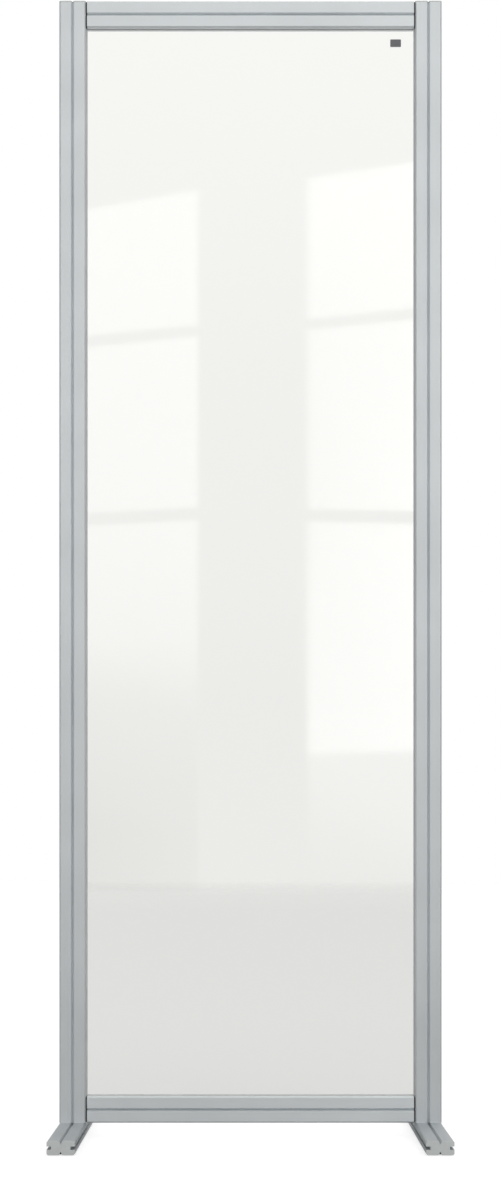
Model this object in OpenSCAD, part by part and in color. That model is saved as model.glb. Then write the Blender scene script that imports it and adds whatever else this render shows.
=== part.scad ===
// Free-standing room divider: a clear acrylic sheet in a screwed aluminium frame on two long feet.
// Millimetres, +Z up. The origin is on the floor, below the middle of the sheet. The front faces -Y.
// Posts, rails and feet are lengths of one extruded section, which is drawn once.

/* [Overall] */
// Width over the outer faces of the two posts
overall_w = 606; // [300:1:1500]
// Height from the floor to the tops of the posts
overall_h = 1800; // [500:1:2600]
// Length of each foot from front to back, with its end caps
foot_l = 450; // [260:1:800]

/* [Extruded section] */
// Wide side of the section, which faces the front on the posts and rails
section_w = 42; // [40:0.5:60]
// Narrow side of the section, which is the depth of the posts and rails
section_d = 21; // [20:0.5:30]
// Bevel on each outer corner of the section
corner_bevel = 2; // [1.5:0.1:3]
// Thickness of the section's outer walls
wall_t = 1.8; // [1.4:0.1:2.4]
// Thickness of the walls round the slots, grooves and screw ports
web_t = 1.6; // [1.2:0.1:2]
// Thickness of the rib that joins the screw ports
rib_t = 2; // [1:0.1:3]
// Width of the V-groove in each wide face, at its mouth
groove_w = 4.8; // [3:0.1:6]
// Depth of the V-groove
groove_depth = 5.2; // [3:0.1:5.8]
// Width of the slot in each narrow side
slot_w = 5; // [4.6:0.1:6]
// Depth of the slot in each narrow side
slot_depth = 6.5; // [5:0.1:8]
// Distance between the axes of the two screw ports
port_pitch = 14; // [12:0.1:15]

/* [Sheet and glazing strips] */
// Thickness of the acrylic sheet
sheet_t = 3; // [2:0.1:4]
// Room left for the sheet to swell at its side edges and at its top
sheet_clear = 0.5; // [0.2:0.1:1]
// Thickness of the glazing strip between the sheet's edge and the floor of the slot
strip_base = 1; // [0.5:0.1:2]
// Height of the glazing strip's lips beyond the frame, over the sheet
lip_h = 2; // [1:0.1:3]
// How far each lip reaches over the frame's narrow side, past the slot's wall
lip_reach = 1.4; // [0.5:0.1:3]
// Thickness of a lip at its upper edge and at its outer edge
lip_edge = 0.8; // [0.5:0.1:1]

/* [Rail spacers] */
// Thickness of the plate between a rail's end and its post
spacer_t = 2; // [1:0.1:3]
// How far the plate's outline lies inside the section's
spacer_inset = 1; // [0.5:0.1:1.5]

/* [Caps and pads] */
// Thickness of the plate of an end cap
cap_t = 2; // [1:0.1:4]
// Length of the tongues that hold an end cap in the section's chambers
tongue_l = 6; // [4:0.5:8]
// Clearance between a tongue and the walls of its chamber
tongue_clear = 0.15; // [0.05:0.05:0.4]
// Length of an anti-slip pad along the foot
pad_l = 60; // [20:1:90]
// Width of an anti-slip pad
pad_w = 34; // [20:0.5:38]
// Thickness of an anti-slip pad
pad_t = 1; // [0.5:0.1:4]
// Radius of a pad's corners
pad_corner_r = 4; // [1:0.5:8]
// Distance from the end of the foot to its pad
pad_setback = 14; // [5:1:40]

/* [Screws] */
// Diameter of the screws
screw_d = 5; // [4:0.1:5.2]
// Diameter of a screw's low head
head_d = 8.5; // [7:0.1:9]
// Height of a screw's head
head_h = 3.5; // [2:0.1:4]
// Size of the hexagon socket, across its corners
socket_d = 3.5; // [2.5:0.1:4.5]
// Depth of the hexagon socket
socket_depth = 2; // [1:0.1:2.5]
// Radial clearance of a screw in the hole that it passes through
hole_clear = 0.25; // [0.1:0.05:0.4]
// Radial clearance of a screw's head in the hole that it is sunk in
head_clear = 0.35; // [0.2:0.05:0.6]
// Diameter of the section's screw ports, into which the screws cut their own thread
port_d = 4.6; // [4.2:0.1:5]
// Radial clearance at which a screw's core is drawn in its port
core_clear = 0.05; // [0.03:0.01:0.1]
// Length of thread that holds a corner screw in its rail
corner_thread_l = 22.5; // [10:0.5:40]
// Distance that the tip of a foot screw keeps from the corner screw above it
foot_tip_gap = 1.5; // [0.5:0.5:4]

/* [Label] */
// Width of the blank label
label_w = 17; // [10:0.5:40]
// Height of the blank label
label_h = 12; // [8:0.5:30]
// Thickness of the blank label
label_t = 0.4; // [0.2:0.1:1]
// Radius of the label's corners
label_corner_r = 1; // [0.5:0.1:3]
// Distance from the frame's inner side edge to the label's centre
label_from_side = 30.5; // [20:0.5:80]
// Distance from the top rail's lower edge to the label's centre
label_from_top = 22; // [15:0.5:80]

/* [Hidden] */
$fn = 48;

left = -1;
right = 1;
front = -1;
rear = 1;
// How far a cut runs past the surface that it opens
past = 1;

// Half sizes of the section, and the level of its inner surfaces
half_w = section_w / 2;
half_d = section_d / 2;
ceiling = half_d - wall_t;
inner_bevel = max(0, corner_bevel - (2 - sqrt(2)) * wall_t);
slot_floor = half_w - slot_depth;
slot_side = slot_w / 2;
ring_r = port_d / 2 + web_t;
// The inner face of a groove's wall: parallel to its flank, cut off flat below the groove's tip
groove_slope = groove_w / 2 / groove_depth;
groove_tip = half_d - groove_depth;
flank_shift = web_t * sqrt(1 + 1 / pow(groove_slope, 2));
flank_at_ceiling = (ceiling - groove_tip + flank_shift) * groove_slope;
flank_at_tip = (flank_shift - web_t) * groove_slope;

// Heights and places of the main lengths
foot_z = pad_t + half_d;
foot_top = pad_t + section_d;
foot_bar_l = foot_l - 2 * cap_t;
post_x = overall_w / 2 - half_w;
post_top = overall_h - cap_t;
bottom_rail_z = foot_top + half_w;
top_rail_z = overall_h - half_w;
opening_w = overall_w - 2 * section_w;
opening_bottom = bottom_rail_z + half_w;
opening_top = top_rail_z - half_w;
opening_h = opening_top - opening_bottom;
opening_z = (opening_top + opening_bottom) / 2;
rail_l = opening_w - 2 * spacer_t;

// The sheet stands on the bottom strip and is clear of the other three by sheet_clear
sheet_bite = slot_depth - strip_base;
sheet_w = opening_w + 2 * (sheet_bite - sheet_clear);
sheet_bottom = opening_bottom - sheet_bite;
sheet_h = opening_top + sheet_bite - sheet_clear - sheet_bottom;
cross_strip_l = opening_w - 2 * lip_h;

pad_y = foot_l / 2 - pad_setback - pad_l / 2;
seat_x = overall_w / 2 - slot_depth;
seat_z = foot_top - wall_t;
corner_grip = section_w - slot_depth + spacer_t;
foot_thread_l = half_w - port_pitch / 2 - screw_d / 2 - foot_tip_gap;

metal = "silver";
grey_plastic = "darkgray";
dark_plastic = "dimgray";
strip_rubber = "gray";

// Adds the left half to a right half whose first and last points lie on the axis
function both_sides(half) =
    concat(half, [for (i = [len(half) - 2 : -1 : 1]) [-half[i].x, half[i].y]]);

// The section's outline. An inset draws it inside itself, with the groove's tip and slot's floor kept.
module outline(inset = 0) {
    w = half_w - inset;
    d = half_d - inset;
    mouth = groove_slope * (groove_depth - inset);
    upper = [[mouth, d], [w - corner_bevel, d], [w, d - corner_bevel], [w, slot_side], [slot_floor, slot_side]];
    lower = [for (i = [len(upper) - 1 : -1 : 0]) [upper[i].x, -upper[i].y]];
    polygon(both_sides(concat([[0, groove_tip]], upper, lower, [[0, -groove_tip]])));
}

module at_ports() {
    for (u = [-port_pitch / 2, port_pitch / 2])
        translate([u, 0])
            children();
}

// The two hollow chambers, above and below the rib, which go round the rings of the screw ports
module chambers() {
    half_chamber = [
        [0, rib_t / 2], [slot_floor - web_t, rib_t / 2], [slot_floor - web_t, slot_side + web_t],
        [half_w - wall_t, slot_side + web_t], [half_w - wall_t, ceiling - inner_bevel],
        [half_w - wall_t - inner_bevel, ceiling], [flank_at_ceiling, ceiling],
        [flank_at_tip, groove_tip - web_t], [0, groove_tip - web_t]
    ];
    difference() {
        for (above = [0, 1])
            mirror([0, above, 0])
                polygon(both_sides(half_chamber));
        at_ports()
            circle(r = ring_r);
    }
}

module section() {
    difference() {
        outline();
        chambers();
        at_ports()
            circle(d = port_d);
    }
}

module rounded_plate(size, corner_r, thickness) {
    linear_extrude(thickness) {
        square([size.x - 2 * corner_r, size.y], center = true);
        square([size.x, size.y - 2 * corner_r], center = true);
        for (x = [-1, 1], y = [-1, 1])
            translate([x * (size.x / 2 - corner_r), y * (size.y / 2 - corner_r)])
                circle(r = corner_r);
    }
}

// A screw with its seat at the origin: the head above it, the plain shank and the threaded core below
module screw(grip, thread) {
    difference() {
        cylinder(d = head_d, h = head_h);
        translate([0, 0, head_h - socket_depth])
            cylinder(d = socket_d, h = socket_depth + past, $fn = 6);
    }
    translate([0, 0, -grip])
        cylinder(d = screw_d, h = grip);
    translate([0, 0, -grip - thread])
        cylinder(d = port_d - 2 * core_clear, h = thread);
}

// The hole that a screw passes through from its seat, and the wider one that its head is sunk in
module screw_hole(depth, sunk) {
    translate([0, 0, -depth])
        cylinder(d = screw_d + 2 * hole_clear, h = depth + sunk);
    cylinder(d = head_d + 2 * head_clear, h = sunk);
}

// Puts a screw or its hole at each of the two ports where a rail at this height meets a post
module at_corner(side, rail_z) {
    for (z = [-port_pitch / 2, port_pitch / 2])
        translate([side * seat_x, 0, rail_z + z])
            rotate([0, side * 90, 0])
                children();
}

module at_foot_ports(side) {
    translate([side * post_x, 0, seat_z])
        rotate([180, 0, 0])
            at_ports()
                children();
}

module post(side) {
    color(metal)
        difference() {
            translate([side * post_x, 0, foot_top])
                linear_extrude(post_top - foot_top)
                    section();
            for (rail_z = [bottom_rail_z, top_rail_z])
                at_corner(side, rail_z)
                    screw_hole(section_w - slot_depth + past, slot_depth + past);
        }
}

module rail(z) {
    color(metal)
        translate([0, 0, z])
            rotate([0, 90, 0])
                linear_extrude(rail_l, center = true)
                    section();
}

module foot(side) {
    color(metal)
        difference() {
            translate([side * post_x, 0, foot_z])
                rotate([90, 0, 0])
                    linear_extrude(foot_bar_l, center = true)
                        section();
            at_foot_ports(side)
                screw_hole(wall_t + past, section_d);
        }
}

// A plate of the section's outline, with one tongue for each corner of the chambers behind it
module end_cap() {
    tongue_from = [flank_at_ceiling + tongue_clear, max(slot_side + web_t, ring_r) + tongue_clear];
    tongue_to = [half_w - wall_t - inner_bevel - tongue_clear, ceiling - tongue_clear];
    color(grey_plastic) {
        linear_extrude(cap_t)
            outline();
        for (above = [0, 1], beside = [0, 1])
            mirror([0, above, 0])
                mirror([beside, 0, 0])
                    translate([tongue_from.x, tongue_from.y, -tongue_l])
                        cube([tongue_to.x - tongue_from.x, tongue_to.y - tongue_from.y, tongue_l + cap_t / 2]);
    }
}

module foot_cap(side, end) {
    translate([side * post_x, end * foot_bar_l / 2, foot_z])
        rotate([-end * 90, 0, 0])
            end_cap();
}

module post_cap(side) {
    translate([side * post_x, 0, post_top])
        end_cap();
}

module spacer(side, rail_z) {
    color(dark_plastic)
        translate([side * (opening_w - spacer_t) / 2, 0, rail_z])
            rotate([0, 90, 0])
                linear_extrude(spacer_t, center = true)
                    difference() {
                        outline(spacer_inset);
                        at_ports()
                            circle(d = screw_d + 2 * hole_clear);
                    }
}

// A glazing strip: x runs across the sheet, and y out of the slot and over the sheet
module strip(length) {
    half_strip = [
        [0, -slot_depth], [slot_side, -slot_depth], [slot_side, 0],
        [slot_side + lip_reach, 0], [slot_side + lip_reach, lip_edge],
        [sheet_t / 2 + lip_edge, lip_h], [sheet_t / 2, lip_h], [sheet_t / 2, -sheet_bite], [0, -sheet_bite]
    ];
    color(strip_rubber)
        linear_extrude(length, center = true)
            polygon(both_sides(half_strip));
}

module upright_strip(side) {
    translate([side * opening_w / 2, 0, opening_z])
        rotate([0, 0, side * 90])
            strip(opening_h);
}

module cross_strip(z, turn) {
    translate([0, 0, z])
        rotate([turn, 0, 0])
            rotate([90, 0, 90])
                strip(cross_strip_l);
}

module acrylic_panel() {
    color("azure", 0.35)
        translate([-sheet_w / 2, -sheet_t / 2, sheet_bottom])
            cube([sheet_w, sheet_t, sheet_h]);
}

module pad(side, end) {
    color("black")
        translate([side * post_x, end * pad_y, 0])
            rounded_plate([pad_w, pad_l], pad_corner_r, pad_t);
}

module corner_screws() {
    color("gainsboro")
        for (side = [left, right], rail_z = [bottom_rail_z, top_rail_z])
            at_corner(side, rail_z)
                screw(corner_grip, corner_thread_l);
}

module foot_screws() {
    color("gainsboro")
        for (side = [left, right])
            at_foot_ports(side)
                screw(wall_t, foot_thread_l);
}

module corner_label() {
    color("dimgray")
        translate([opening_w / 2 - label_from_side, -sheet_t / 2, opening_top - label_from_top])
            rotate([90, 0, 0])
                rounded_plate([label_w, label_h], label_corner_r, label_t);
}

post(left);  // left_post
post(right);  // right_post
rail(top_rail_z);  // top_rail
rail(bottom_rail_z);  // bottom_rail
acrylic_panel();
upright_strip(left);  // left_glazing_strip
upright_strip(right);  // right_glazing_strip
cross_strip(opening_top, 180);  // top_glazing_strip
cross_strip(opening_bottom, 0);  // bottom_glazing_strip
spacer(left, top_rail_z);  // top_left_spacer
spacer(right, top_rail_z);  // top_right_spacer
spacer(left, bottom_rail_z);  // bottom_left_spacer
spacer(right, bottom_rail_z);  // bottom_right_spacer
foot(left);  // left_foot
foot(right);  // right_foot
foot_cap(left, front);  // left_foot_front_cap
foot_cap(left, rear);  // left_foot_rear_cap
foot_cap(right, front);  // right_foot_front_cap
foot_cap(right, rear);  // right_foot_rear_cap
post_cap(left);  // left_post_cap
post_cap(right);  // right_post_cap
pad(left, front);  // left_front_pad
pad(left, rear);  // left_rear_pad
pad(right, front);  // right_front_pad
pad(right, rear);  // right_rear_pad
corner_screws();
foot_screws();
corner_label();
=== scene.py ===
# Clear room divider in a satin aluminium frame: camera, studio, finishes and small fittings.
# Metres, +Z up, front towards -Y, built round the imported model.
import math

import bpy
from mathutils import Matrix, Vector


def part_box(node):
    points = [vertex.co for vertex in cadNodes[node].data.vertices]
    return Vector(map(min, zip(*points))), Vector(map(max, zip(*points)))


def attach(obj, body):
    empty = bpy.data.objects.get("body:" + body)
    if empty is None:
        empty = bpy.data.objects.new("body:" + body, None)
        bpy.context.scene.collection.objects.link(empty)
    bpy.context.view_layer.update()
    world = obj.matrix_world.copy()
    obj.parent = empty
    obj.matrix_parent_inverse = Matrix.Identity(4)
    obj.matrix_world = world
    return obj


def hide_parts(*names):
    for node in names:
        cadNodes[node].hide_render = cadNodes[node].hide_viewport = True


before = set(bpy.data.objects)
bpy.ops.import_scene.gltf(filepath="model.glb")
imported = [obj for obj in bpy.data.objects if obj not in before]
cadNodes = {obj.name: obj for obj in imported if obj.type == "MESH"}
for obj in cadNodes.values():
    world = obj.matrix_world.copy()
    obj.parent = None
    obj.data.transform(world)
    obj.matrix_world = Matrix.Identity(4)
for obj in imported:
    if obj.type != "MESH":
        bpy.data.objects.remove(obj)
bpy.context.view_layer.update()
mm = 0.001
print("frame loaded with", len(cadNodes), "nodes")


# Turns sRGB hex into linear red, green, blue and alpha.
def linear(hexColour):
    channels = [int(hexColour[i : i + 2], 16) / 255 for i in (0, 2, 4)]
    return [c / 12.92 if c <= 0.04045 else ((c + 0.055) / 1.055) ** 2.4 for c in channels] + [1]


# Adds a node: settings are its own properties, and links gives each input a value or another node's output.
def addNode(tree, kind, links=None, **settings):
    node = tree.nodes.new(kind)
    for name, value in settings.items():
        setattr(node, name, value)
    for name, value in (links or {}).items():
        if isinstance(value, bpy.types.NodeSocket):
            tree.links.new(value, node.inputs[name])
        else:
            node.inputs[name].default_value = value
    return node


def newMaterial(name):
    material = bpy.data.materials.new(name)
    material.use_nodes = True
    material.node_tree.nodes.clear()
    return material, material.node_tree


# Tells the rays that come through the clear sheet from all others.
def throughSheet(tree, rays):
    passed = addNode(
        tree,
        "ShaderNodeMath",
        {0: rays.outputs["Is Glossy Ray"], 1: rays.outputs["Transmission Depth"]},
        operation="MULTIPLY",
        use_clamp=True,
    )
    return passed.outputs[0]


def newMesh(name, points, faces, edges=()):
    mesh = bpy.data.meshes.new(name)
    mesh.from_pydata(points, edges, faces)
    thing = bpy.data.objects.new(name, mesh)
    bpy.context.scene.collection.objects.link(thing)
    return thing


# Starts a Geometry Nodes tree that takes a mesh and the named inputs, and ends in real faces of one material.
def newForm(name, inputs):
    form = bpy.data.node_groups.new(name, "GeometryNodeTree")
    form.interface.new_socket("Geometry", in_out="INPUT", socket_type="NodeSocketGeometry")
    for label, kind in inputs.items():
        form.interface.new_socket(label, in_out="INPUT", socket_type="NodeSocket" + kind)
    form.interface.new_socket("Geometry", in_out="OUTPUT", socket_type="NodeSocketGeometry")
    return form, form.nodes.new("NodeGroupInput").outputs


def endForm(form, geometry, given):
    real = addNode(form, "GeometryNodeRealizeInstances", {"Geometry": geometry})
    finished = addNode(
        form,
        "GeometryNodeSetMaterial",
        {"Geometry": real.outputs[0], "Material": given["Material"]},
    )
    addNode(form, "NodeGroupOutput", {"Geometry": finished.outputs[0]})


# Edges that bend by less than smoothBelow are shaded smooth. Points nearer than weldWithin become one.
smoothBelow = math.radians(35)
weldWithin = 0.001 * mm


# Runs a tree on a mesh with the given values, and turns the result into one plain mesh.
def grow(host, form, values):
    modifier = host.modifiers.new("form", "NODES")
    modifier.node_group = form
    for socket in form.interface.items_tree:
        if socket.in_out == "INPUT" and socket.name in values:
            modifier[socket.identifier] = values[socket.name]
    graph = bpy.context.evaluated_depsgraph_get()
    mesh = bpy.data.meshes.new_from_object(host.evaluated_get(graph), depsgraph=graph)
    host.modifiers.remove(modifier)
    mesh.polygons.foreach_set("material_index", [0] * len(mesh.polygons))
    mesh.materials.clear()
    mesh.materials.append(values["Material"])
    mesh.shade_smooth()
    mesh.set_sharp_from_angle(angle=smoothBelow)
    host.data = mesh
    return host


# Camera: level, a little below half height, its frame shifted up so that the uprights stay parallel.
camera = {
    "distance": 3.4265,
    "height": 0.454,
    "lens": 64.57,
    "sensor": 36,
    "shiftUp": 0.20735,
    "sight": 200,
}
lens = bpy.data.cameras.new("camera")
lens.lens = camera["lens"]
lens.sensor_width = camera["sensor"]
lens.shift_y = camera["shiftUp"]
lens.clip_end = camera["sight"]
eye = bpy.data.objects.new("camera", lens)
eye.location = (0, -camera["distance"], camera["height"])
eye.rotation_euler = (math.pi / 2, 0, 0)
bpy.context.scene.collection.objects.link(eye)
bpy.context.scene.camera = eye
bpy.context.scene.view_settings.view_transform = "Standard"
print("camera set")

# Studio: a white backdrop. Through the sheet it shows in its own pale tones, a little brighter higher up. The
# rest of the studio, which is mirrored in the metal, is dimmer at the sides. What is matte gets somewhat more
# light than the metal mirrors, so that its colours come out about as they're written.
studio = {
    "tint": "FFFFFE",
    "backdrop": [
        (-0.6, 0.6),
        (-0.02, 0.918),
        (0.07, 0.922),
        (0.134, 0.952),
        (0.213, 0.972),
        (0.264, 1.0),
        (0.352, 1.045),
        (0.5, 1.0),
        (1, 0.92),
    ],
    "light": [(-0.6, 0.5), (-0.05, 0.89), (0.12, 0.9), (0.35, 0.57), (0.65, 1.18), (1, 0.97)],
    "sides": [(-1, 0.16), (-0.5, 0.77), (0, 0.99), (0.32, 1.2), (0.6, 0.86), (1, 0.06)],
    "matteLift": 0.4,
}
world = bpy.data.worlds.new("studio")
bpy.context.scene.world = world
world.use_nodes = True
sky = world.node_tree
sky.nodes.clear()
direction = addNode(sky, "ShaderNodeTexCoord").outputs["Generated"]
parts = addNode(sky, "ShaderNodeSeparateXYZ", {"Vector": direction})
graded = {}
for name, axis in (("backdrop", "Z"), ("light", "Z"), ("sides", "X")):
    place = addNode(
        sky,
        "ShaderNodeMapRange",
        {"Value": parts.outputs[axis], "From Min": -1, "From Max": 1},
    )
    tones = addNode(sky, "ShaderNodeValToRGB", {"Fac": place.outputs["Result"]})
    stops = tones.color_ramp.elements
    for spot, (at, tone) in ((0, studio[name][0]), (-1, studio[name][-1])):
        stops[spot].position = (at + 1) / 2
        stops[spot].color = (tone, tone, tone, 1)
    for at, tone in studio[name][1:-1]:
        stops.new((at + 1) / 2).color = (tone, tone, tone, 1)
    graded[name] = tones.outputs["Color"]
rays = addNode(sky, "ShaderNodeLightPath")
shaped = addNode(sky, "ShaderNodeMath", {0: graded["light"], 1: graded["sides"]}, operation="MULTIPLY")
lifted = addNode(
    sky,
    "ShaderNodeMath",
    {0: rays.outputs["Is Diffuse Ray"], 1: studio["matteLift"], 2: 1},
    operation="MULTIPLY_ADD",
)
light = addNode(sky, "ShaderNodeMath", {0: shaped.outputs[0], 1: lifted.outputs[0]}, operation="MULTIPLY")
strength = addNode(
    sky,
    "ShaderNodeMix",
    {"Factor": throughSheet(sky, rays), 2: light.outputs[0], 3: graded["backdrop"]},
    data_type="FLOAT",
)
pale = addNode(
    sky,
    "ShaderNodeBackground",
    {"Color": linear(studio["tint"]), "Strength": strength.outputs[0]},
)
white = addNode(sky, "ShaderNodeBackground", {"Color": (1, 1, 1, 1), "Strength": 1})
seen = addNode(
    sky,
    "ShaderNodeMixShader",
    {0: rays.outputs["Is Camera Ray"], 1: pale.outputs[0], 2: white.outputs[0]},
)
addNode(sky, "ShaderNodeOutputWorld", {"Surface": seen.outputs[0]})

# Floor: a pale disc whose far edge fades into the backdrop. The camera sees it white and, through the sheet,
# pale grey, both with the object's shadow kept. To mirrored and scattered rays it glows less, and near the
# feet not at all: a painted shadow of the object, which the metal mirrors. Matte pieces get a little more of
# the glow than the metal does.
flooring = {
    "colour": "9F9F9F",
    "radius": 28,
    "fade": 15,
    "rim": 0.05,
    "drop": 0.2 * mm,
    "sides": 96,
    "toCamera": 0.73,
    "throughSheet": 0.437,
    "toMetal": 0.13,
    "moreToMatte": 0.15,
    "glowsFrom": 0.6,
    "glowsFully": 2.2,
}
turn = 2 * math.pi / flooring["sides"]
radius = flooring["radius"]
rim = [
    (radius * math.cos(turn * i), radius * math.sin(turn * i), -flooring["drop"])
    for i in range(flooring["sides"])
]
floor = newMesh("floor", rim, [range(flooring["sides"])])
paleFloor, tree = newMaterial("paleFloor")
ground = addNode(tree, "ShaderNodeTexCoord").outputs["Object"]
reach = addNode(tree, "ShaderNodeVectorMath", {0: ground}, operation="LENGTH")
fade = addNode(
    tree,
    "ShaderNodeMapRange",
    {
        "Value": reach.outputs["Value"],
        "From Min": radius - flooring["fade"],
        "From Max": radius - flooring["rim"],
    },
)
rays = addNode(tree, "ShaderNodeLightPath")
# The glow rises from nothing near the feet to full further out: a painted shadow of the object on the floor.
glowPastPaintedShadow = addNode(
    tree,
    "ShaderNodeMapRange",
    {
        "Value": reach.outputs["Value"],
        "From Min": flooring["glowsFrom"],
        "From Max": flooring["glowsFully"],
        "To Max": flooring["toMetal"],
    },
)
cast = addNode(
    tree,
    "ShaderNodeMath",
    {0: rays.outputs["Is Diffuse Ray"], 1: flooring["moreToMatte"], 2: glowPastPaintedShadow.outputs["Result"]},
    operation="MULTIPLY_ADD",
)
mirrored = addNode(
    tree,
    "ShaderNodeMix",
    {"Factor": throughSheet(tree, rays), 2: cast.outputs[0], 3: flooring["throughSheet"]},
    data_type="FLOAT",
)
glow = addNode(
    tree,
    "ShaderNodeMix",
    {"Factor": rays.outputs["Is Camera Ray"], 2: mirrored.outputs[0], 3: flooring["toCamera"]},
    data_type="FLOAT",
)
matte = addNode(tree, "ShaderNodeBsdfDiffuse", {"Color": linear(flooring["colour"])})
lift = addNode(tree, "ShaderNodeEmission", {"Strength": glow.outputs[0]})
lit = addNode(tree, "ShaderNodeAddShader", {0: matte.outputs[0], 1: lift.outputs[0]})
clear = addNode(tree, "ShaderNodeBsdfTransparent")
edge = addNode(
    tree,
    "ShaderNodeMixShader",
    {0: fade.outputs["Result"], 1: lit.outputs[0], 2: clear.outputs[0]},
)
addNode(tree, "ShaderNodeOutputMaterial", {"Surface": edge.outputs[0]})
floor.data.materials.append(paleFloor)

# Windows: two tall ones behind the camera, of which the sheet shows the mirror images. Columns give a place
# across the sheet and a share of the glow. Rows run downwards: a height on the sheet at the outer and the
# inner side, and the glow at both, which a pane gives for its upper and its lower edge. A glow below zero is
# a shade: something low and dark stands below the left window.
windows = {
    "distance": 6.0,
    "mirror": 1.5 * mm,
    "soft": 2.4 * mm,
    "left": {
        "columns": [(-0.2934, 1), (-0.2585, 1), (-0.0878, 1), (-0.0803, 0)],
        "outer": -0.2585,
        "inner": -0.0803,
        "panes": [
            (1.4719, 1.5037, 1.15, 1.15, 1.2715, 1.2890, 1.25, 1.3),
            (1.2532, 1.2707, 1.3, 1.3, 0.9892, 0.9988, 1.2, 1.3),
            (0.9693, 0.9788, 1.15, 1.25, 0.7880, 0.7900, 0.9, 1.0),
        ],
        "foot": [
            (0.7200, 0.7000, 0.2, 0.3),
            (0.6900, 0.6600, 0, 0),
            (0.5650, 0.5650, -0.6, -0.3),
            (0.4900, 0.4900, -1, -0.4),
            (0.3950, 0.3950, -1, -0.4),
            (0.3850, 0.3850, 0, 0),
        ],
    },
    "right": {
        "columns": [(0.0835, 0), (0.0985, 1), (0.2585, 1), (0.2934, 1)],
        "outer": 0.2585,
        "inner": 0.0883,
        "panes": [
            (1.5466, 1.5212, 1.4, 1.3, 1.3150, 1.2975, 1.5, 1.3),
            (1.2967, 1.2808, 1.6, 1.25, 0.9936, 0.9952, 1.9, 1.25),
            (0.9730, 0.9762, 1.95, 1.35, 0.6146, 0.6099, 2.3, 1.9),
        ],
        "foot": [(0.6050, 0.5990, 0.8, 0.75), (0.5000, 0.5000, 0.55, 0.3), (0.4000, 0.4100, 0, 0)],
    },
}


def addWindow(side):
    pane = windows[side]
    soft = windows["soft"]
    rows = []
    for top, topIn, glowTop, glowTopIn, low, lowIn, glowLow, glowLowIn in pane["panes"]:
        rows.append((top + soft, topIn + soft, 0, 0))
        rows.append((top - soft, topIn - soft, glowTop, glowTopIn))
        rows.append((low + soft, lowIn + soft, glowLow, glowLowIn))
        rows.append((low - soft, lowIn - soft, 0, 0))
    rows.pop()  # the lowest pane fades out through the foot rows
    rows += pane["foot"]
    depth = camera["distance"] - windows["mirror"]
    spread = (depth + windows["distance"]) / depth
    points, glows = [], []
    for z, zIn, glow, glowIn in rows:
        for x, share in pane["columns"]:
            along = (x - pane["outer"]) / (pane["inner"] - pane["outer"])
            height = z + (zIn - z) * along
            raised = camera["height"] + (height - camera["height"]) * spread
            points.append((x * spread, -windows["distance"], raised))
            glows.append(share * (glow + (glowIn - glow) * min(max(along, 0), 1)))
    wide = len(pane["columns"])
    faces = [
        (r * wide + c, r * wide + c + 1, (r + 1) * wide + c + 1, (r + 1) * wide + c)
        for r in range(len(rows) - 1)
        for c in range(wide - 1)
    ]
    window = newMesh(side + "Window", points, faces)
    brightness = window.data.attributes.new("brightness", "FLOAT", "POINT")
    brightness.data.foreach_set("value", glows)
    window.data.materials.append(daylight)
    window.visible_camera = window.visible_diffuse = window.visible_shadow = False


daylight, tree = newMaterial("daylight")
brightness = addNode(tree, "ShaderNodeAttribute", attribute_name="brightness")
rays = addNode(tree, "ShaderNodeLightPath")
belowOneMirror = 0.5
mirrored = addNode(
    tree,
    "ShaderNodeMath",
    {0: rays.outputs["Glossy Depth"], 1: belowOneMirror},
    operation="GREATER_THAN",
)
shown = addNode(
    tree,
    "ShaderNodeMath",
    {0: brightness.outputs["Fac"], 1: mirrored.outputs[0]},
    operation="MULTIPLY",
)
bright = addNode(tree, "ShaderNodeMath", {0: shown.outputs[0], 1: 0}, operation="MAXIMUM")
glow = addNode(tree, "ShaderNodeEmission", {"Strength": bright.outputs[0]})
dark = addNode(tree, "ShaderNodeMath", {0: shown.outputs[0], 1: 0}, operation="MINIMUM")
passing = addNode(tree, "ShaderNodeMath", {0: dark.outputs[0], 1: 1}, operation="ADD")
clear = addNode(tree, "ShaderNodeBsdfTransparent", {"Color": passing.outputs[0]})
both = addNode(tree, "ShaderNodeAddShader", {0: glow.outputs[0], 1: clear.outputs[0]})
addNode(tree, "ShaderNodeOutputMaterial", {"Surface": both.outputs[0]})
addWindow("left")
addWindow("right")

# Lamp: one broad soft light from the front right, above.
softbox = {"place": (2.2, -3.4, 3.0), "aim": (0, 0, 0.7), "size": 2.4, "power": 9}
lamp = bpy.data.lights.new("softbox", "AREA")
lamp.shape = "DISK"
lamp.size = softbox["size"]
lamp.energy = softbox["power"]
lampObject = bpy.data.objects.new("softbox", lamp)
lampObject.location = softbox["place"]
towards = [a - b for a, b in zip(softbox["aim"], softbox["place"])]
lampObject.rotation_euler = (
    math.atan2(math.hypot(towards[0], towards[1]), -towards[2]),
    0,
    math.atan2(-towards[0], towards[1]),
)
lampObject.visible_camera = False
bpy.context.scene.collection.objects.link(lampObject)
print("studio lit")

# Anodised aluminium, extruded: an even satin grey with faint drawing lines along each length, across which
# the highlights spread. The real lines are about 0.3 mm apart; they're drawn 1.2 mm apart to show at all.
# The feet are drawn a darker grey: painted shade, for the dimmer light on their tops.
anodised = {
    "colours": {"frame": ("EAEEF0", "E4E8EA"), "foot": ("CACED1", "C2C7CA")},
    "lineSpacing": 1.2 * mm,
    "lineLength": 0.5,
    "lineDetail": 3,
    "lineBreakup": 0.6,
    "lineShare": 0.6,
    "lineRange": (0.3, 0.7),
    "cloudSize": 0.12,
    "cloudDetail": 2,
    "toneRange": (0.6, 1.0),
    "roughness": (0.55, 0.63),
    "spread": 0.5,
    "spreadTurn": 0.25,
    "bump": 0.06,
    "bumpDepth": 0.05 * mm,
}


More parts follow.
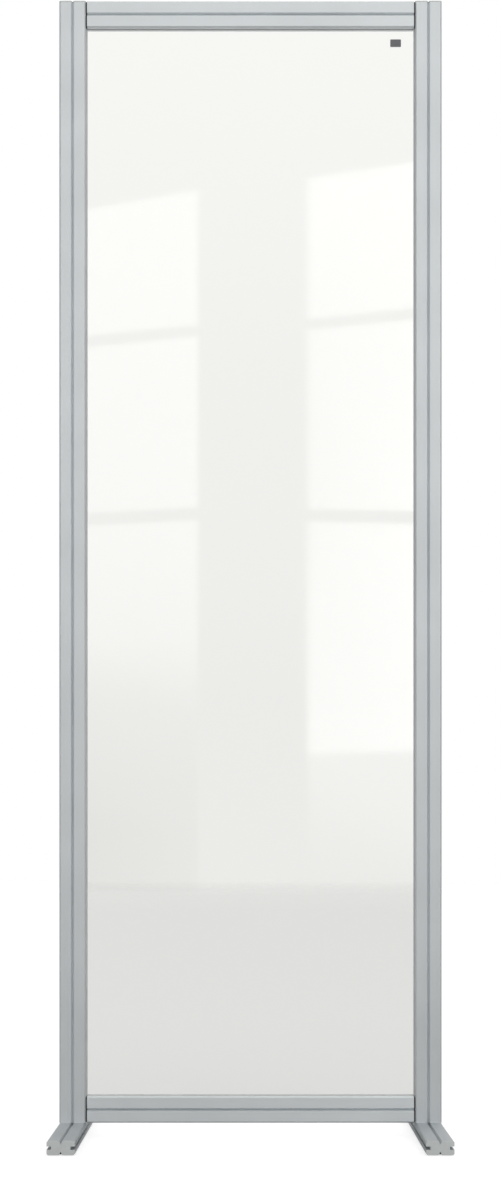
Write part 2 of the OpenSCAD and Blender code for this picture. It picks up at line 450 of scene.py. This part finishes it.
def anodisedAluminium(name, axis, use):
    material, tree = newMaterial(name)
    paler, darker = anodised["colours"][use]
    place = addNode(tree, "ShaderNodeTexCoord").outputs["Object"]
    across, along = 1 / anodised["lineSpacing"], 1 / anodised["lineLength"]
    scale = [along if i == axis else across for i in range(3)]
    stretched = addNode(tree, "ShaderNodeMapping", {"Vector": place, "Scale": scale})
    lines = addNode(
        tree,
        "ShaderNodeTexNoise",
        {
            "Vector": stretched.outputs[0],
            "Scale": 1,
            "Detail": anodised["lineDetail"],
            "Roughness": anodised["lineBreakup"],
        },
    )
    clouds = addNode(
        tree,
        "ShaderNodeTexNoise",
        {"Vector": place, "Scale": 1 / anodised["cloudSize"], "Detail": anodised["cloudDetail"]},
    )
    mixed = addNode(
        tree,
        "ShaderNodeMath",
        {0: lines.outputs["Fac"], 1: anodised["lineShare"], 2: clouds.outputs["Fac"]},
        operation="MULTIPLY_ADD",
    )
    least, most = anodised["toneRange"]
    shade = addNode(
        tree,
        "ShaderNodeMapRange",
        {"Value": mixed.outputs[0], "From Min": least, "From Max": most},
    )
    colour = addNode(
        tree,
        "ShaderNodeMix",
        {"Factor": shade.outputs[0], 6: linear(darker), 7: linear(paler)},
        data_type="RGBA",
    )
    least, most = anodised["lineRange"]
    low, high = anodised["roughness"]
    satin = addNode(
        tree,
        "ShaderNodeMapRange",
        {"Value": lines.outputs["Fac"], "From Min": least, "From Max": most, "To Min": low, "To Max": high},
    )
    bump = addNode(
        tree,
        "ShaderNodeBump",
        {"Strength": anodised["bump"], "Distance": anodised["bumpDepth"], "Height": lines.outputs["Fac"]},
    )
    grain = addNode(tree, "ShaderNodeCombineXYZ", {"XYZ"[axis]: 1})
    surface = addNode(
        tree,
        "ShaderNodeBsdfPrincipled",
        {
            "Base Color": colour.outputs[2],
            "Metallic": 1,
            "Roughness": satin.outputs[0],
            "Anisotropic": anodised["spread"],
            "Anisotropic Rotation": anodised["spreadTurn"],
            "Tangent": grain.outputs[0],
            "Normal": bump.outputs[0],
        },
    )
    addNode(tree, "ShaderNodeOutputMaterial", {"Surface": surface.outputs[0]})
    return material


# Cast acrylic, flame-clear: nearly invisible face on, with mirror images a little softened and bent by the
# sheet's slight waves. Shadow rays pass through it.
acrylic = {
    "colour": "F4F4F2",
    "shadowTone": 0.93,
    "ior": 1.49,
    "roughness": 0.022,
    "haze": 0.01,
    "smudgesPerMetre": 14,
    "smudgeDetail": 4,
    "smudgeRange": (0.4, 0.8),
    "waveLength": 0.35,
    "wave": 0.05,
    "waveDepth": 1 * mm,
}


def castAcrylic():
    material, tree = newMaterial("castAcrylicSheet")
    place = addNode(tree, "ShaderNodeTexCoord").outputs["Object"]
    smudges = addNode(
        tree,
        "ShaderNodeTexNoise",
        {"Vector": place, "Scale": acrylic["smudgesPerMetre"], "Detail": acrylic["smudgeDetail"]},
    )
    least, most = acrylic["smudgeRange"]
    haze = addNode(
        tree,
        "ShaderNodeMapRange",
        {
            "Value": smudges.outputs["Fac"],
            "From Min": least,
            "From Max": most,
            "To Min": acrylic["roughness"],
            "To Max": acrylic["roughness"] + acrylic["haze"],
        },
    )
    waves = addNode(
        tree,
        "ShaderNodeTexNoise",
        {"Vector": place, "Scale": 1 / acrylic["waveLength"], "Detail": 1},
    )
    bump = addNode(
        tree,
        "ShaderNodeBump",
        {"Strength": acrylic["wave"], "Distance": acrylic["waveDepth"], "Height": waves.outputs["Fac"]},
    )
    surface = addNode(
        tree,
        "ShaderNodeBsdfPrincipled",
        {
            "Base Color": linear(acrylic["colour"]),
            "Roughness": haze.outputs[0],
            "IOR": acrylic["ior"],
            "Transmission Weight": 1,
            "Normal": bump.outputs[0],
        },
    )
    passing = addNode(tree, "ShaderNodeBsdfTransparent", {"Color": [acrylic["shadowTone"]] * 3 + [1]})
    rays = addNode(tree, "ShaderNodeLightPath")
    shaded = addNode(
        tree,
        "ShaderNodeMixShader",
        {0: rays.outputs["Is Shadow Ray"], 1: surface.outputs[0], 2: passing.outputs[0]},
    )
    addNode(tree, "ShaderNodeOutputMaterial", {"Surface": shaded.outputs[0]})
    return material


# Moulded and extruded polymers: a flat colour broken by fine grain and soft clouds, with a soft sheen.
polymers = {
    "extrudedGlazingRubber": {
        "colours": ("C5C6C6", "BCBEBD"),
        "grain": 0.5 * mm,
        "roughness": (0.5, 0.62),
        "bump": 0.12,
    },
    "mouldedCapNylon": {
        "colours": ("C3C7C6", "BBBFBE"),
        "grain": 0.8 * mm,
        "roughness": (0.45, 0.6),
        "bump": 0.2,
    },
    # The joint spacers' near-black is partly their own colour and partly painted shade for the shadowed gap
    # where each rail meets an upright.
    "mouldedSpacerNylon": {
        "colours": ("303132", "272829"),
        "grain": 0.8 * mm,
        "roughness": (0.45, 0.6),
        "bump": 0.2,
    },
    "ribbedPadRubber": {
        "colours": ("1C1C1C", "131313"),
        "grain": 0.6 * mm,
        "roughness": (0.6, 0.8),
        "bump": 0.3,
    },
    "plainLabelVinyl": {
        "colours": ("66686A", "5E6062"),
        "grain": 0.4 * mm,
        "roughness": (0.3, 0.4),
        "bump": 0.08,
    },
}
texture = {
    "grainDetail": 2,
    "grainDepth": 0.1 * mm,
    "cloudsPerMetre": 60,
    "cloudDetail": 3,
    "toneRange": (0.75, 1.25),
}


def polymer(name):
    look = polymers[name]
    material, tree = newMaterial(name)
    place = addNode(tree, "ShaderNodeTexCoord").outputs["Object"]
    grain = addNode(
        tree,
        "ShaderNodeTexNoise",
        {"Vector": place, "Scale": 1 / look["grain"], "Detail": texture["grainDetail"]},
    )
    clouds = addNode(
        tree,
        "ShaderNodeTexNoise",
        {"Vector": place, "Scale": texture["cloudsPerMetre"], "Detail": texture["cloudDetail"]},
    )
    mixed = addNode(
        tree,
        "ShaderNodeMath",
        {0: grain.outputs["Fac"], 1: clouds.outputs["Fac"]},
        operation="ADD",
    )
    least, most = texture["toneRange"]
    shade = addNode(
        tree,
        "ShaderNodeMapRange",
        {"Value": mixed.outputs[0], "From Min": least, "From Max": most},
    )
    paler, darker = look["colours"]
    colour = addNode(
        tree,
        "ShaderNodeMix",
        {"Factor": shade.outputs[0], 6: linear(darker), 7: linear(paler)},
        data_type="RGBA",
    )
    low, high = look["roughness"]
    sheen = addNode(
        tree,
        "ShaderNodeMapRange",
        {"Value": mixed.outputs[0], "From Min": least, "From Max": most, "To Min": low, "To Max": high},
    )
    bump = addNode(
        tree,
        "ShaderNodeBump",
        {"Strength": look["bump"], "Distance": texture["grainDepth"], "Height": grain.outputs["Fac"]},
    )
    surface = addNode(
        tree,
        "ShaderNodeBsdfPrincipled",
        {"Base Color": colour.outputs[2], "Roughness": sheen.outputs[0], "Normal": bump.outputs[0]},
    )
    addNode(tree, "ShaderNodeOutputMaterial", {"Surface": surface.outputs[0]})
    return material


# Zinc-plated steel: a cool bright grey with fine spots, paler and a little duller where the plating is thick.
steel = {
    "colours": ("C6C8C6", "AEB1B0"),
    "spotSize": 0.4 * mm,
    "spotDetail": 3,
    "roughness": (0.28, 0.42),
    "bump": 0.1,
    "bumpDepth": 0.05 * mm,
}


def platedSteel():
    material, tree = newMaterial("zincPlatedSteel")
    place = addNode(tree, "ShaderNodeTexCoord").outputs["Object"]
    spots = addNode(
        tree,
        "ShaderNodeTexNoise",
        {"Vector": place, "Scale": 1 / steel["spotSize"], "Detail": steel["spotDetail"]},
    )
    paler, darker = steel["colours"]
    colour = addNode(
        tree,
        "ShaderNodeMix",
        {"Factor": spots.outputs["Fac"], 6: linear(darker), 7: linear(paler)},
        data_type="RGBA",
    )
    low, high = steel["roughness"]
    satin = addNode(
        tree,
        "ShaderNodeMapRange",
        {"Value": spots.outputs["Fac"], "To Min": low, "To Max": high},
    )
    bump = addNode(
        tree,
        "ShaderNodeBump",
        {"Strength": steel["bump"], "Distance": steel["bumpDepth"], "Height": spots.outputs["Fac"]},
    )
    surface = addNode(
        tree,
        "ShaderNodeBsdfPrincipled",
        {
            "Base Color": colour.outputs[2],
            "Metallic": 1,
            "Roughness": satin.outputs[0],
            "Normal": bump.outputs[0],
        },
    )
    addNode(tree, "ShaderNodeOutputMaterial", {"Surface": surface.outputs[0]})
    return material


finishes = {
    "post": anodisedAluminium("anodisedUpright", 2, "frame"),
    "rail": anodisedAluminium("anodisedAcross", 0, "frame"),
    # The feet's darker grey is painted shade, not a different finish.
    "foot": anodisedAluminium("anodisedFrontToBack", 1, "foot"),
    "panel": castAcrylic(),
    "strip": polymer("extrudedGlazingRubber"),
    "cap": polymer("mouldedCapNylon"),
    "spacer": polymer("mouldedSpacerNylon"),
    "pad": polymer("ribbedPadRubber"),
    "screws": platedSteel(),
    "label": polymer("plainLabelVinyl"),
}
for name, node in cadNodes.items():
    node.material_slots[0].material = finishes[name.split("_")[-1]]
print("finishes made")

# The aluminium section's own sizes that the fittings below are made to. These and theirs are in mm.
section = {"slotWidth": 5, "slotDepth": 6.5, "wall": 1.8, "portPitch": 14}

# Glazing strips: one rubber channel round the sheet's edge, with a rounded lip over each side of it. At the
# top the strip has no lips over the rail, and barely shows below it.
strips = {
    "sheet": 3,
    "bite": 5.5,
    "reach": 1.4,
    "edge": 0.8,
    "lips": {"left": 2, "right": 2, "top": 0.3, "bottom": 2},
    "rounding": 0.35,
    "clearance": 0.03,
}


# Rounds each corner of a closed outline, and takes at most the given share of a side.
def rounded(outline, radius, steps=4, most=0.45):
    points = []
    for i, corner in enumerate(outline):
        corner = Vector(corner)
        back, ahead = Vector(outline[i - 1]) - corner, Vector(outline[(i + 1) % len(outline)]) - corner
        half = back.angle(ahead) / 2
        cut = min(radius / math.tan(half), most * back.length, most * ahead.length)
        start, end = corner + back.normalized() * cut, corner + ahead.normalized() * cut
        for step in range(steps + 1):
            share = step / steps
            points.append((1 - share) ** 2 * start + 2 * share * (1 - share) * corner + share**2 * end)
    return points


def stripOutline(lip):
    gap = strips["clearance"]
    slot, sheet = section["slotWidth"] / 2 - gap, strips["sheet"] / 2 + gap
    half = [
        (slot, gap - section["slotDepth"]),
        (slot, gap),
        (slot + strips["reach"], gap),
        (slot + strips["reach"], strips["edge"]),
        (sheet + strips["edge"], lip),
        (sheet, lip),
        (sheet, -strips["bite"] - gap),
    ]
    if lip < strips["edge"]:
        half = [half[0], (slot, lip), *half[-2:]]
    outline = half + [(-x, y) for x, y in reversed(half)]
    return [(p.x * mm, p.y * mm, 0) for p in rounded(outline, strips["rounding"])]


sweep, given = newForm(
    "sweptStrip",
    {"Length": "Float", "Place": "Vector", "Turn": "Rotation", "Material": "Material"},
)
profile = addNode(sweep, "GeometryNodeMeshToCurve", {"Mesh": given["Geometry"]})
halfLength = addNode(sweep, "ShaderNodeMath", {0: given["Length"], 1: 0.5}, operation="MULTIPLY")
below = addNode(sweep, "ShaderNodeMath", {0: given["Length"], 1: -0.5}, operation="MULTIPLY")
start = addNode(sweep, "ShaderNodeCombineXYZ", {"Z": below.outputs[0]})
end = addNode(sweep, "ShaderNodeCombineXYZ", {"Z": halfLength.outputs[0]})
path = addNode(sweep, "GeometryNodeCurvePrimitiveLine", {"Start": start.outputs[0], "End": end.outputs[0]})
bar = addNode(
    sweep,
    "GeometryNodeCurveToMesh",
    {"Curve": path.outputs[0], "Profile Curve": profile.outputs[0], "Fill Caps": True},
)
placed = addNode(
    sweep,
    "GeometryNodeTransform",
    {"Geometry": bar.outputs[0], "Translation": given["Place"], "Rotation": given["Turn"]},
)
endForm(sweep, placed.outputs[0], given)

opening = {
    "left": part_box("left_post")[1].x,
    "right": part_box("right_post")[0].x,
    "bottom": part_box("bottom_rail")[1].z,
    "top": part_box("top_rail")[0].z,
}
middle = (opening["bottom"] + opening["top"]) / 2
tall = opening["top"] - opening["bottom"]
sideLips = strips["lips"]["left"] + strips["lips"]["right"] + 2 * strips["clearance"]
wide = opening["right"] - opening["left"] - sideLips * mm
quarter = math.pi / 2
runs = {
    "left": ((opening["left"], 0, middle), (0, 0, -quarter), tall),
    "right": ((opening["right"], 0, middle), (0, 0, quarter), tall),
    "bottom": ((0, 0, opening["bottom"]), (quarter, 0, quarter), wide),
    "top": ((0, 0, opening["top"]), (-quarter, 0, -quarter), wide),
}
for side, (place, turn, length) in runs.items():
    outline = stripOutline(strips["lips"][side])
    ring = [(i, (i + 1) % len(outline)) for i in range(len(outline))]
    strip = newMesh(side + "GlazingStrip", outline, [], ring)
    grow(strip, sweep, {"Length": length, "Place": place, "Turn": turn, "Material": finishes["strip"]})
    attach(strip, "root")
    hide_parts(side + "_glazing_strip")
print("glazing strips swept")

# Screws: low cap heads with a hexagon socket, a plain shank and a core in the section's screw port. They're
# turned from one outline. Each of its points has a radius, a height, and 1 where it's drawn out to a hexagon.
screws = {
    "head": 8.5,
    "headHeight": 3.5,
    "headBevel": 0.45,
    "bevelShoulder": 0.3,
    "headEdge": 0.15,
    "socket": 3.5,
    "socketDepth": 2,
    "socketBevel": 0.25,
    "shank": 5,
    "core": 4.5,
    "tip": 0.8,
    "tipSlope": 0.6,
    "segments": 36,
    "sweepRadius": 10,
    "cornerGrip": 37.5,
    "cornerThread": 22.5,
    "footThread": 10,
}


def screwOutline(grip, thread):
    head, socket, height = screws["head"] / 2, screws["socket"] / 2, screws["headHeight"]
    bevel, mouth, edge = screws["headBevel"], screws["socketBevel"], screws["headEdge"]
    shoulder, shank, core = bevel * screws["bevelShoulder"], screws["shank"] / 2, screws["core"] / 2
    bottom, end, tip = height - screws["socketDepth"], -grip - thread, screws["tip"]
    return [
        (0, bottom, 1),
        (socket, bottom, 1),
        (socket, height - mouth, 1),
        (socket + mouth, height, 1),
        (head - bevel, height, 0),
        (head - shoulder, height - shoulder, 0),
        (head, height - bevel, 0),
        (head, edge, 0),
        (head - edge, 0, 0),
        (shank, 0, 0),
        (shank, -grip, 0),
        (core, -grip, 0),
        (core, end + tip, 0),
        (core - tip * screws["tipSlope"], end, 0),
        (0, end, 0),
    ]


turning, given = newForm(
    "turnedScrews",
    {"Outline": "Object", "Segments": "Int", "Sweep Radius": "Float", "Material": "Material"},
)
outline = addNode(turning, "GeometryNodeObjectInfo", {"Object": given["Outline"]})
profile = addNode(turning, "GeometryNodeMeshToCurve", {"Mesh": outline.outputs["Geometry"]})
circle = addNode(
    turning,
    "GeometryNodeCurvePrimitiveCircle",
    {"Resolution": given["Segments"], "Radius": given["Sweep Radius"]},
    mode="RADIUS",
)
turned = addNode(
    turning,
    "GeometryNodeCurveToMesh",
    {"Curve": circle.outputs["Curve"], "Profile Curve": profile.outputs[0]},
)
spot = addNode(turning, "GeometryNodeInputPosition")
apart = addNode(turning, "ShaderNodeSeparateXYZ", {"Vector": spot.outputs[0]})
angle = addNode(
    turning,
    "ShaderNodeMath",
    {0: apart.outputs["Y"], 1: apart.outputs["X"]},
    operation="ARCTAN2",
)
sixth = math.pi / 3
along = addNode(turning, "ShaderNodeMath", {0: angle.outputs[0], 1: sixth}, operation="FLOORED_MODULO")
offMiddle = addNode(turning, "ShaderNodeMath", {0: along.outputs[0], 1: sixth / 2}, operation="SUBTRACT")
slope = addNode(turning, "ShaderNodeMath", {0: offMiddle.outputs[0]}, operation="COSINE")
flat = addNode(turning, "ShaderNodeMath", {0: math.cos(sixth / 2), 1: slope.outputs[0]}, operation="DIVIDE")
inSocket = addNode(turning, "GeometryNodeInputNamedAttribute", {"Name": "socket"}, data_type="FLOAT")
drawn = addNode(
    turning,
    "ShaderNodeMix",
    {"Factor": inSocket.outputs["Attribute"], 2: 1, 3: flat.outputs[0]},
    data_type="FLOAT",
)
scale = addNode(turning, "ShaderNodeCombineXYZ", {"X": drawn.outputs[0], "Y": drawn.outputs[0], "Z": 1})
hexagon = addNode(
    turning,
    "ShaderNodeVectorMath",
    {0: spot.outputs[0], 1: scale.outputs[0]},
    operation="MULTIPLY",
)
shaped = addNode(
    turning,
    "GeometryNodeSetPosition",
    {"Geometry": turned.outputs[0], "Position": hexagon.outputs[0]},
)
closed = addNode(
    turning,
    "GeometryNodeMergeByDistance",
    {"Geometry": shaped.outputs[0], "Distance": weldWithin},
)
heading = addNode(turning, "GeometryNodeInputNamedAttribute", {"Name": "axis"}, data_type="FLOAT_VECTOR")
upright = addNode(
    turning,
    "FunctionNodeAlignRotationToVector",
    {"Vector": heading.outputs["Attribute"]},
    axis="Z",
)
copies = addNode(
    turning,
    "GeometryNodeInstanceOnPoints",
    {"Points": given["Geometry"], "Instance": closed.outputs[0], "Rotation": upright.outputs[0]},
)
endForm(turning, copies.outputs[0], given)


# Each seat is a place under the head and the direction in which the head points.
def addScrews(name, node, seats, grip, thread):
    sweepRadius = screws["sweepRadius"] * mm
    points = screwOutline(grip, thread)
    spine = [(i, i + 1) for i in range(len(points) - 1)]
    places = [(r * mm - sweepRadius, -z * mm, 0) for r, z, hexagonal in points]
    pattern = newMesh("screwOutline", places, [], spine)
    mark = pattern.data.attributes.new("socket", "FLOAT", "POINT")
    mark.data.foreach_set("value", [hexagonal for r, z, hexagonal in points])
    row = newMesh(name, [place for place, axis in seats], [])
    aim = row.data.attributes.new("axis", "FLOAT_VECTOR", "POINT")
    aim.data.foreach_set("vector", [part for place, axis in seats for part in axis])
    values = {
        "Outline": pattern,
        "Segments": screws["segments"],
        "Sweep Radius": sweepRadius,
        "Material": finishes["screws"],
    }
    grow(row, turning, values)
    bpy.data.objects.remove(pattern)
    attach(row, "root")
    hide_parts(node)


halfPitch = section["portPitch"] / 2 * mm
cornerSeats, footSeats = [], []
for side, sign in (("left", -1), ("right", 1)):
    low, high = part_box(side + "_post")
    face = high.x if sign > 0 else low.x
    for rail in ("bottom_rail", "top_rail"):
        level = sum(corner.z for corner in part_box(rail)) / 2
        for shift in (-halfPitch, halfPitch):
            cornerSeats.append(((face - sign * section["slotDepth"] * mm, 0, level + shift), (sign, 0, 0)))
    centre = (low.x + high.x) / 2
    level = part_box(side + "_foot")[1].z - section["wall"] * mm
    for shift in (-halfPitch, halfPitch):
        footSeats.append(((centre + shift, 0, level), (0, 0, -1)))
addScrews("cornerScrews", "corner_screws", cornerSeats, screws["cornerGrip"], screws["cornerThread"])
addScrews("footScrews", "foot_screws", footSeats, section["wall"], screws["footThread"])
print("screws turned")

# Foot pads: thin rubber plates with rounded corners, ribbed underneath for grip.
pads = {
    "corner": 4,
    "cornerSteps": 8,
    "ribDepth": 0.4,
    "ribWidth": 1.2,
    "ribSpacing": 2.5,
    "ribSides": 12,
    "margin": 1.8,
}
padding, given = newForm(
    "ribbedPads",
    {
        "Width": "Float",
        "Length": "Float",
        "Thickness": "Float",
        "Corner": "Float",
        "Rib Depth": "Float",
        "Rib Width": "Float",
        "Rib Length": "Float",
        "Rib Count": "Int",
        "First Rib": "Vector",
        "Rib Step": "Vector",
        "Material": "Material",
    },
)
edge = addNode(
    padding,
    "GeometryNodeCurvePrimitiveQuadrilateral",
    {"Width": given["Width"], "Height": given["Length"]},
    mode="RECTANGLE",
)
soft = addNode(
    padding,
    "GeometryNodeFilletCurve",
    {
        "Curve": edge.outputs[0],
        "Radius": given["Corner"],
        "Limit Radius": True,
        "Count": pads["cornerSteps"],
    },
    mode="POLY",
)
filled = addNode(padding, "GeometryNodeFillCurve", {"Curve": soft.outputs[0]}, mode="NGONS")
plateDepth = addNode(
    padding,
    "ShaderNodeMath",
    {0: given["Thickness"], 1: given["Rib Depth"]},
    operation="SUBTRACT",
)
raised = addNode(
    padding,
    "GeometryNodeExtrudeMesh",
    {"Mesh": filled.outputs[0], "Offset Scale": plateDepth.outputs[0], "Individual": False},
)
under = addNode(padding, "GeometryNodeFlipFaces", {"Mesh": filled.outputs[0]})
shell = addNode(padding, "GeometryNodeJoinGeometry")
for piece in (under.outputs[0], raised.outputs[0]):
    padding.links.new(piece, shell.inputs[0])
plate = addNode(
    padding,
    "GeometryNodeMergeByDistance",
    {"Geometry": shell.outputs[0], "Distance": weldWithin},
)
lift = addNode(padding, "ShaderNodeCombineXYZ", {"Z": given["Rib Depth"]})
seated = addNode(
    padding,
    "GeometryNodeTransform",
    {"Geometry": plate.outputs[0], "Translation": lift.outputs[0]},
)
halfRib = addNode(padding, "ShaderNodeMath", {0: given["Rib Length"], 1: 0.5}, operation="MULTIPLY")
backRib = addNode(padding, "ShaderNodeMath", {0: given["Rib Length"], 1: -0.5}, operation="MULTIPLY")
ribStart = addNode(padding, "ShaderNodeCombineXYZ", {"X": backRib.outputs[0]})
ribEnd = addNode(padding, "ShaderNodeCombineXYZ", {"X": halfRib.outputs[0]})
ribLine = addNode(
    padding,
    "GeometryNodeCurvePrimitiveLine",
    {"Start": ribStart.outputs[0], "End": ribEnd.outputs[0]},
)
ribRound = addNode(
    padding,
    "GeometryNodeCurvePrimitiveCircle",
    {"Resolution": pads["ribSides"], "Radius": 1},
    mode="RADIUS",
)
ribBar = addNode(
    padding,
    "GeometryNodeCurveToMesh",
    {"Curve": ribLine.outputs[0], "Profile Curve": ribRound.outputs["Curve"], "Fill Caps": True},
)
spot = addNode(padding, "GeometryNodeInputPosition")
halfRibWidth = addNode(padding, "ShaderNodeMath", {0: given["Rib Width"], 1: 0.5}, operation="MULTIPLY")
ribScale = addNode(
    padding,
    "ShaderNodeCombineXYZ",
    {"X": 1, "Y": halfRibWidth.outputs[0], "Z": given["Rib Depth"]},
)
ribPoint = addNode(
    padding,
    "ShaderNodeVectorMath",
    {0: spot.outputs[0], 1: ribScale.outputs[0]},
    operation="MULTIPLY",
)
rib = addNode(
    padding,
    "GeometryNodeSetPosition",
    {"Geometry": ribBar.outputs[0], "Position": ribPoint.outputs[0]},
)
ribPlaces = addNode(
    padding,
    "GeometryNodeMeshLine",
    {"Count": given["Rib Count"], "Start Location": given["First Rib"], "Offset": given["Rib Step"]},
    mode="OFFSET",
)
ribs = addNode(
    padding,
    "GeometryNodeInstanceOnPoints",
    {"Points": ribPlaces.outputs[0], "Instance": rib.outputs[0]},
)
onePad = addNode(padding, "GeometryNodeJoinGeometry")
for piece in (ribs.outputs[0], seated.outputs[0]):
    padding.links.new(piece, onePad.inputs[0])
allPads = addNode(
    padding,
    "GeometryNodeInstanceOnPoints",
    {"Points": given["Geometry"], "Instance": onePad.outputs[0]},
)
endForm(padding, allPads.outputs[0], given)

padNodes = [name for name in cadNodes if name.endswith("_pad")]
low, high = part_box(padNodes[0])
size = high - low
places = []
for name in padNodes:
    near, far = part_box(name)
    places.append(((near.x + far.x) / 2, (near.y + far.y) / 2, 0))
ribRun = size.y - 2 * pads["margin"] * mm - pads["ribWidth"] * mm
ribCount = int(ribRun / (pads["ribSpacing"] * mm)) + 1
values = {
    "Width": size.x,
    "Length": size.y,
    "Thickness": size.z,
    "Corner": pads["corner"] * mm,
    "Rib Depth": pads["ribDepth"] * mm,
    "Rib Width": pads["ribWidth"] * mm,
    "Rib Length": size.x - 2 * pads["margin"] * mm,
    "Rib Count": ribCount,
    "First Rib": (0, -(ribCount - 1) / 2 * pads["ribSpacing"] * mm, pads["ribDepth"] * mm),
    "Rib Step": (0, pads["ribSpacing"] * mm, 0),
    "Material": finishes["pad"],
}
footPads = grow(newMesh("footPads", places, []), padding, values)
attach(footPads, "root")
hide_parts(*padNodes)
print("pads ribbed")
